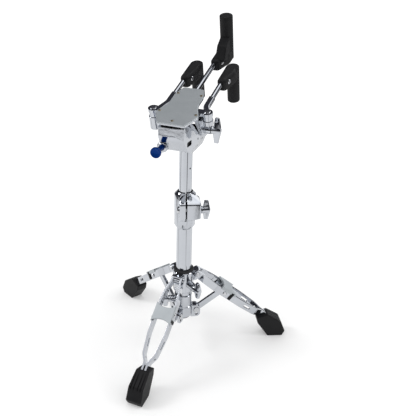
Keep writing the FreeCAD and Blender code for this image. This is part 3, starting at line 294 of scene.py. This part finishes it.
def wing_piece(name, node, body, span, shank, seat, turn):
    start_piece()
    bpy.ops.mesh.primitive_cube_add(size=1, location=((wing_back + wing_apex) / 2, 0, 0),
                                    scale=(wing_apex - wing_back, 2 * wing_root_half, 2 * span))
    wings = bpy.context.object
    wings.name = name
    bpy.ops.object.transform_apply(location=True, rotation=True, scale=True)
    bpy.ops.object.mode_set(mode="EDIT")
    tip_front = wing_back + wing_lean + wing_nose
    for way in (-1, 1):
        front_slope = (span - wing_apex_half, 0, way * (wing_apex - tip_front))
        slice_off((wing_apex, 0, way * wing_apex_half), front_slope)
        slice_off((wing_back, 0, 0), (-span, 0, way * wing_lean))
        for side in (-1, 1):
            side_slope = (0, side * span, way * (wing_root_half - wing_tip_half))
            slice_off((0, side * wing_root_half, 0), side_slope)
    bpy.ops.object.mode_set(mode="OBJECT")
    apply_modifier(wings, "BEVEL", {"width": wing_edge_round, "segments": wing_edge_steps,
                                    "limit_method": "ANGLE", "angle_limit": wing_edge_angle})
    rings = list(hub_rings)
    if shank:
        rings = [(-shank, wing_screw_shank), (-cut_play, wing_screw_shank)] + rings
    combine(wings, "UNION", lathe(name + "_hub", rings))
    bpy.ops.object.mode_set(mode="EDIT")
    bpy.ops.mesh.select_all(action="SELECT")
    bpy.ops.mesh.remove_doubles(threshold=sliver_width)
    bpy.ops.mesh.dissolve_degenerate(threshold=sliver_width)
    bpy.ops.mesh.quads_convert_to_tris()
    bpy.ops.object.mode_set(mode="OBJECT")
    wings.location = seat
    wings.rotation_euler = (0, 0, math.radians(turn))
    settle(wings, cast_chrome)
    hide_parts(node)
    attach(wings, body)


wing_piece("tilt_wing", "tilt_wing_nut", "tilt_wing_nut", span=0.024, shank=0,
           seat=(0.0486, 0, 0.485), turn=0)
wing_piece("clamp_wing", "clamp_wing_nut", "clamp_wing_nut", span=0.020, shank=0,
           seat=(0.03703, -0.01197, 0.326), turn=25)
wing_piece("collar_wing", "collar_wing_screw", "collar_wing_screw", span=0.018, shank=0.023125,
           seat=(0.03258, -0.02198, 0.150), turn=-34)
wing_piece("hub_wing", "hub_wing_screw", "hub_wing_screw", span=0.018, shank=0.011125,
           seat=(-0.02454, -0.01197, 0.104), turn=-154)

# Height clamp
# A casting on the lower tube's end, turned 25 degrees: a round body with a sloping rim, split at the front
# between two ears that fall away from the rim, a short one for the bolt's head and a long one for the nut.
# The slit's walls are painted dark, as painted shade in the narrow gap.
clamp_turn = math.radians(25)
clamp_rings = ((0.277, 0.0167), (0.284, 0.0210), (0.3485, 0.0210), (0.3496, 0.0205), (0.3545, 0.0156),
               (0.355, 0.0153))
clamp_sides = 96
tube_seat_rings = ((0.270, 0.01595), (0.3222, 0.01595))
bush_seat_rings = ((0.321, 0.0152), (0.360, 0.0152))
bolt_hole_rings = ((-0.020, 0.0036), (0.035, 0.0036))
bolt_hole_sides = 32
bolt_place = (0, -0.0265, 0.326)
ears_low = (-0.0132, -0.036, 0.306)
ears_high = (0.0282, 0, 0.354)
ear_edge_round = 0.003
ear_edge_steps = 4
slit_half = 0.0016
slit_low = (-slit_half, -0.040, 0.298)
slit_high = (slit_half, 0, 0.360)
slit_shade_margin = 0.0001
# A point on each cut through the block of the ears and the way it faces: right, left, front and underside
ear_cuts = (((0.010, 0, 0.354), (0.53, 0, 0.85)), ((-0.004, 0, 0.354), (-0.62, 0, 0.78)),
            ((0, -0.019, 0.354), (0, -0.62, 0.78)), ((0.008, 0, 0.306), (0.2, 0, -0.98)))


def block(name, low, high):
    start_piece()
    middle = [(a + b) / 2 for a, b in zip(low, high)]
    bpy.ops.mesh.primitive_cube_add(size=1, location=middle, scale=[b - a for a, b in zip(low, high)])
    made = bpy.context.object
    made.name = name
    bpy.ops.object.transform_apply(location=True, rotation=True, scale=True)
    return made


def upright(piece):
    bpy.context.view_layer.objects.active = piece
    piece.select_set(True)
    piece.rotation_euler = (0, -math.pi / 2, 0)
    bpy.ops.object.transform_apply(location=True, rotation=True, scale=True)
    return piece


def distance_along(wire, place, way):
    return wire.node("VectorMath", {"operation": "DOT_PRODUCT"}, {0: place, 1: way}, "Value")


# Mask of the painted shade on the slit's walls, with a thin margin around them
def clamp_slit_shade(wire):
    place = wire.node("TexCoord", {}, {}, "Object")
    across = distance_along(wire, place, (math.cos(clamp_turn), math.sin(clamp_turn), 0))
    along = distance_along(wire, place, (-math.sin(clamp_turn), math.cos(clamp_turn), 0))
    height = one_axis(wire, place, "Z")
    in_slit = between(wire, across, (-slit_half - slit_shade_margin, slit_half + slit_shade_margin))
    in_slit = in_slit * wire.math("LESS_THAN", along, 0.0)
    return in_slit * wire.math("GREATER_THAN", height, slit_low[2] - slit_shade_margin)


clamp = upright(lathe("clamp_casting", clamp_rings, clamp_sides))
ears = block("clamp_ears", ears_low, ears_high)
bpy.ops.object.mode_set(mode="EDIT")
for point, outward in ear_cuts:
    slice_off(point, outward)
bpy.ops.object.mode_set(mode="OBJECT")
apply_modifier(ears, "BEVEL", {"width": ear_edge_round, "segments": ear_edge_steps, "limit_method": "ANGLE"})
combine(clamp, "UNION", ears)
combine(clamp, "DIFFERENCE", upright(lathe("tube_seat", tube_seat_rings, clamp_sides)))
combine(clamp, "DIFFERENCE", upright(lathe("bush_seat", bush_seat_rings, clamp_sides)))
combine(clamp, "DIFFERENCE", block("slit", slit_low, slit_high))
bolt_hole = lathe("bolt_hole", bolt_hole_rings, bolt_hole_sides)
bolt_hole.location = bolt_place
combine(clamp, "DIFFERENCE", bolt_hole)
clamp.rotation_euler = (0, 0, clamp_turn)
settle(clamp, chrome("clamp_chrome", **cast_skin, painted_shade=clamp_slit_shade))
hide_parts("height_clamp")
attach(clamp, "lower_column")

# Pins, rivets and bolts
# Turned steel under a thinner, duller plate, with fine tool marks left on the heads. The same steel makes
# the gas spring's rod, the button's linkage and the screws that pinch the grips on their arms.
tool_mark_size = 0.0007
tool_mark_detail = 3.0
tool_mark_depth = 0.00005
tool_mark_strength = 0.4
tool_mark_roughness = 0.12
steel_smudge_size = 0.006


def plated_steel(name, dark, light, roughness):
    material, wire = new_material(name)
    place = place_on_piece(wire)
    marks = noise(wire, place, tool_mark_size, tool_mark_detail)
    smudge = noise(wire, place, steel_smudge_size)
    bump = wire.node("Bump", {}, {"Strength": tool_mark_strength, "Distance": tool_mark_depth,
                                  "Height": marks})
    finish_surface(wire, {"Base Color": blend_colours(wire, smudge, dark, light), "Metallic": 1.0,
                          "Roughness": roughness + tool_mark_roughness * marks, "Normal": bump})
    return material


turned_steel = plated_steel("turned_steel", dark=(0.5, 0.51, 0.53, 1), light=(0.68, 0.69, 0.71, 1),
                            roughness=0.14)
dress(turned_steel, "clamp_bolt", "tilt_bolt", "leg_pivot_pins", "arm_hinge_pins", "gas_spring_rod",
      "button_stem", "release_rocker", "valve_pin", "left_grip_screw", "right_grip_screw", "rear_grip_screw")
dress(turned_steel, *on_each_leg("_brace_rivets"))

# Button spring
# Four turns of round steel wire about the button's stem, between the knob's neck and the floor of the
# guide's pocket.
spring_front = (-0.020, -0.0697, 0.465)
spring_floor = (-0.020, -0.0603, 0.465)
spring_radius = 0.0041
spring_wire = 0.0006
spring_wire_sides = 12
spring_turns = 4
spring_turn_steps = 32
spring_length = spring_floor[1] - spring_front[1]
spring_pitch = (spring_length - 2 * spring_wire) / spring_turns
start_piece()
bpy.ops.mesh.primitive_circle_add(vertices=spring_wire_sides, radius=spring_wire,
                                  location=(spring_radius, 0, spring_wire), rotation=(math.pi / 2, 0, 0))
spring = bpy.context.object
spring.name = "button_coil"
bpy.ops.object.transform_apply(location=True, rotation=True, scale=True)
apply_modifier(spring, "SCREW", {"axis": "Z", "steps": spring_turn_steps, "render_steps": spring_turn_steps,
                                 "iterations": spring_turns, "screw_offset": spring_pitch})
bpy.ops.object.mode_set(mode="EDIT")
bpy.ops.mesh.select_all(action="SELECT")
bpy.ops.mesh.fill_holes(sides=0)
bpy.ops.mesh.select_all(action="SELECT")
bpy.ops.mesh.normals_make_consistent(inside=False)
bpy.ops.object.mode_set(mode="OBJECT")
spring.location = spring_front
spring.rotation_euler = (-math.pi / 2, 0, 0)
settle(spring, turned_steel, crease_degrees=60)
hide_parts("button_spring")
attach(spring, "upper_column")
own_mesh(spring)

# Cover screws
# Small pan-head screws in yellow zinc, a shade warmer than the plate they hold.
# Five of them fix the cover plate on the basket frame.
yellow_zinc = plated_steel("yellow_zinc", dark=(0.2, 0.17, 0.12, 1), light=(0.36, 0.31, 0.22, 1),
                           roughness=0.3)
dress(yellow_zinc, "cover_screws")

# Cover plate and leg bridges
# Rolled plate with a fine satin finish, brushed from front to back and a little clouded by handling.
# The plate is screwed on the basket frame, and each bridge wraps the two straps of its leg.
satin_dark = (0.38, 0.41, 0.43, 1)
satin_light = (0.46, 0.49, 0.51, 1)
satin_metal = 0.5
satin_roughness = 0.32
satin_edge_round = 0.0006
brush_size = 0.0006
brush_stretch = (1, 0.03, 0.03)
brush_detail = 3.0
brush_depth = 0.00005
brush_strength = 0.25
brush_roughness = 0.1
satin_cloud_size = 0.02
satin_cloud_detail = 3.0


def satin_plate():
    material, wire = new_material("satin_plate")
    brushed = noise(wire, place_on_piece(wire, brush_stretch), brush_size, brush_detail)
    cloud = noise(wire, place_on_piece(wire), satin_cloud_size, satin_cloud_detail)
    rounded = wire.node("Bevel", {"samples": edge_samples}, {"Radius": satin_edge_round})
    bump = wire.node("Bump", {}, {"Strength": brush_strength, "Distance": brush_depth, "Height": brushed,
                                  "Normal": rounded})
    finish_surface(wire, {"Base Color": blend_colours(wire, cloud, satin_dark, satin_light),
                          "Metallic": satin_metal, "Roughness": satin_roughness + brush_roughness * brushed,
                          "Normal": bump})
    return material


dress(satin_plate(), "cover_plate", *on_each_leg("_leg_bridge"))

# Rubber grips, feet and pads
# Moulded black rubber with a fine spark-eroded grain, a little polished in patches by hands and floors.
# The grips sit on the arms' ends, the feet on the legs' ends and the pads on the straps' outer faces.
grain_size = 0.0009
grain_detail = 3.0
grain_depth = 0.0002
grain_strength = 0.35
grain_roughness = 0.08
rubber_cloud_size = 0.02
rubber_cloud_detail = 3.0
rubber_cloud_roughness = 0.14
rubber_roughness = 0.42
rubber_shine = 0.18


def moulded_rubber(name, dark, light):
    material, wire = new_material(name)
    place = place_on_piece(wire)
    grain = noise(wire, place, grain_size, grain_detail)
    cloud = noise(wire, place, rubber_cloud_size, rubber_cloud_detail)
    bump = wire.node("Bump", {}, {"Strength": grain_strength, "Distance": grain_depth, "Height": grain})
    gloss = rubber_roughness + rubber_cloud_roughness * cloud + grain_roughness * grain
    finish_surface(wire, {"Base Color": blend_colours(wire, cloud, dark, light),
                          "Specular IOR Level": rubber_shine, "Roughness": gloss, "Normal": bump})
    return material


black_rubber = moulded_rubber("black_rubber", dark=(0.006, 0.006, 0.007, 1), light=(0.013, 0.013, 0.014, 1))
dress(black_rubber, "left_grip", "right_grip", "rear_grip", *on_each_leg("_leg_foot", "_leg_pads"))

# Bushes, plug and gas spring case
# Black nylon bushes and plug, and the black enamel of the gas spring's case inside the column.
# The bushes keep the tubes from rubbing on the castings.
black_nylon = moulded_rubber("black_nylon", dark=(0.018, 0.018, 0.019, 1), light=(0.03, 0.03, 0.032, 1))
dress(black_nylon, "collar_bush", "clamp_bush", "tube_plug", "gas_spring_cylinder")

# Release button
# Turned aluminium knob, anodised deep blue: a dished face with a rounded rim, a cone behind it and a neck.
# The turning tool left fine rings about the knob's axis.
knob_face = (-0.020, -0.100, 0.465)
knob_rings = ((0.0020, 0.0022), (0.0017, 0.0048), (0.0009, 0.0071), (0.0001, 0.0084), (0.0, 0.0088),
              (0.0004, 0.0095), (0.0013, 0.0098), (0.0048, 0.0098), (0.0060, 0.0091), (0.0118, 0.0056),
              (0.0135, 0.0048), (0.0300, 0.0048))
knob_sides = 64
blue_dark = (0.0005, 0.025, 0.15, 1)
blue_light = (0.001, 0.034, 0.2, 1)
blue_metal = 0.3
blue_shine = 0.12
blue_roughness = 0.2
blue_cloud_size = 0.006
turning_rings_per_metre = 2500.0
turning_depth = 0.00003
turning_strength = 0.3
turning_roughness = 0.1


def blue_anodised():
    material, wire = new_material("blue_anodised")
    place = wire.node("TexCoord", {}, {}, "Object")
    across = wire.node("VectorMath", {"operation": "SUBTRACT"}, {0: place, 1: knob_face})
    across = wire.node("VectorMath", {"operation": "MULTIPLY"}, {0: across, 1: (1, 0, 1)})
    radius = wire.node("VectorMath", {"operation": "LENGTH"}, {0: across}, "Value")
    rings = wire.node("TexNoise", {"noise_dimensions": "1D"}, {"W": radius, "Scale": turning_rings_per_metre})
    cloud = noise(wire, place, blue_cloud_size)
    bump = wire.node("Bump", {}, {"Strength": turning_strength, "Distance": turning_depth, "Height": rings})
    finish_surface(wire, {"Base Color": blend_colours(wire, cloud, blue_dark, blue_light),
                          "Metallic": blue_metal, "Roughness": blue_roughness + turning_roughness * rings,
                          "Normal": bump, "Specular IOR Level": blue_shine})
    return material


knob = lathe("release_knob", knob_rings, knob_sides)
knob.location = knob_face
knob.rotation_euler = (0, 0, math.pi / 2)
settle(knob, blue_anodised())
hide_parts("release_button")
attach(knob, "release_button")

# Floor
# A pale studio floor that runs out white and keeps the stand's soft shadow. The chrome alone also sees dark
# cloths on it: three spokes about the stand and a wide ring, which fades further out, except where a screen
# to the front carries it on.
floor_reach = 30.0
floor_colour = (0.88, 0.88, 0.88, 1)
white_strength = 1.2
fade_distances = (0.25, 0.6)
fade_amounts = (0.12, 0.9)
mirror_fade = 0.1
cloth_colour = (0.02, 0.02, 0.025, 1)
spoke_count = 3
spoke_bearing = math.radians(-42)
spoke_sharpness = 24.0
spoke_distances = (0.15, 0.9)
ring_start = (1.3, 2.0)
ring_end = (2.4, 3.4)
ring_amounts = (1.0, 0.35)
screen_bearing = math.radians(-108)
screen_sharpness = 10.0


def ramp(wire, value, limits, amounts=(0.0, 1.0)):
    return wire.node("MapRange", {}, {"Value": value, "From Min": limits[0], "From Max": limits[1],
                                      "To Min": amounts[0], "To Max": amounts[1]})


def beam(wire, angle, sharpness):
    facing = wire.math("MAXIMUM", wire.math("COSINE", angle, 0.0), 0.0)
    return wire.math("POWER", facing, sharpness)


start_piece()
bpy.ops.mesh.primitive_plane_add(size=2 * floor_reach)
floor = bpy.context.object
floor.name = "floor"
floor_finish, wire = new_material("pale_floor")
camera_rays = wire.node("LightPath", {}, {}, "Is Camera Ray")
mirror_rays = wire.node("LightPath", {}, {}, "Is Glossy Ray")
place = wire.node("TexCoord", {}, {}, "Object")
away = wire.node("VectorMath", {"operation": "LENGTH"}, {0: place}, "Value")
bearing = wire.math("ARCTAN2", one_axis(wire, place, "Y"), one_axis(wire, place, "X"))
spokes = beam(wire, spoke_count * bearing - spoke_count * spoke_bearing, spoke_sharpness)
spokes = spokes * ramp(wire, away, spoke_distances)
screen = beam(wire, bearing - screen_bearing, screen_sharpness)
ring = ramp(wire, away, ring_start) * wire.math("MAXIMUM", ramp(wire, away, ring_end, ring_amounts), screen)
cloths = mirror_rays * wire.math("MAXIMUM", spokes, ring)
fade = ramp(wire, away, fade_distances, fade_amounts) * camera_rays + mirror_fade * mirror_rays
plain = wire.node("BsdfDiffuse", {}, {"Color": floor_colour})
white = wire.node("Emission", {}, {"Color": (1, 1, 1, 1), "Strength": white_strength})
cloth = wire.node("Emission", {}, {"Color": cloth_colour, "Strength": 1.0})
faded = wire.node("MixShader", {}, {0: fade, 1: plain, 2: white})
seen = wire.node("MixShader", {}, {0: cloths, 1: faded, 2: cloth})
wire.node("OutputMaterial", {}, {"Surface": seen})
floor.data.materials.append(floor_finish)

# Studio light
# A soft lamp above and to the left, a weaker one to the right and a pale room around them. The chrome alone
# sees black flags and a bright panel in that room: upright bands at the back, and at the front a dark wall
# below a bright ceiling.
room_colour = (0.98, 0.98, 0.98, 1)
back_bands = ((0.0, (0.04, 0.04, 0.05, 1)), (0.4, (0.05, 0.05, 0.06, 1)), (0.5, (1.5, 1.5, 1.5, 1)),
              (0.66, (1.4, 1.42, 1.46, 1)), (0.74, (0.06, 0.06, 0.07, 1)), (1.0, (0.3, 0.31, 0.33, 1)))
front_bands = ((0.0, (0.02, 0.02, 0.025, 1)), (0.55, (0.04, 0.04, 0.05, 1)), (0.8, (0.9, 0.9, 0.92, 1)),
               (1.0, (1.5, 1.5, 1.5, 1)))
back_to_front = (0.1, -0.25)
lamp_aim = Vector((0, 0, 0.3))
world = bpy.data.worlds.new("studio")
bpy.context.scene.world = world
world.use_nodes = True
world.node_tree.nodes.clear()
wire = Wire(world.node_tree)
direction = wire.node("TexCoord", {}, {}, "Generated")
across = 0.5 + 0.5 * one_axis(wire, direction, "X")
back_wall = wire.node("ValToRGB", {"stops": back_bands}, {"Fac": across})
front_wall = wire.node("ValToRGB", {"stops": front_bands}, {"Fac": one_axis(wire, direction, "Z")})
front = ramp(wire, one_axis(wire, direction, "Y"), back_to_front)
mirrored = blend_colours(wire, front, back_wall, front_wall)
mirror_rays = wire.node("LightPath", {}, {}, "Is Glossy Ray")
camera_rays = wire.node("LightPath", {}, {}, "Is Camera Ray")
plain = blend_colours(wire, camera_rays, room_colour, (1, 1, 1, 1))
shown = blend_colours(wire, mirror_rays, plain, mirrored)
background = wire.node("Background", {}, {"Color": shown, "Strength": 1.0})
wire.node("OutputWorld", {}, {"Surface": background})


def lamp(name, place, size, power):
    bpy.ops.object.light_add(type="AREA", location=place)
    made = bpy.context.object
    made.name = name
    made.data.shape = "DISK"
    made.data.size = size
    made.data.energy = power
    aim = lamp_aim - Vector(place)
    made.rotation_euler = aim.to_track_quat("-Z", "Y").to_euler()


lamp("key_lamp", place=(-1.7, -0.5, 1.7), size=0.7, power=14)
lamp("fill_lamp", place=(1.7, 0.5, 1.5), size=0.8, power=5)

# Camera
# The photograph's own view: from the front right, above the basket, a little rolled. Its place and lens come
# from the widths of the two tubes and the places of the three feet.
view_place = (0.3598, -0.9907, 0.8493)
view_turn = math.radians(17.5)
view_drop = math.radians(26.734)
view_roll = math.radians(2.228)
camera_data = bpy.data.cameras.new("camera")
camera_data.sensor_fit = "HORIZONTAL"
camera_data.sensor_width = 36.0
camera_data.lens = 52.14
camera = bpy.data.objects.new("camera", camera_data)
bpy.context.scene.collection.objects.link(camera)
turn = Matrix.Rotation(view_turn, 4, "Z") @ Matrix.Rotation(math.pi / 2 - view_drop, 4, "X")
camera.matrix_world = Matrix.Translation(view_place) @ turn @ Matrix.Rotation(view_roll, 4, "Z")
bpy.context.scene.camera = camera
bpy.context.scene.view_settings.view_transform = "Standard"
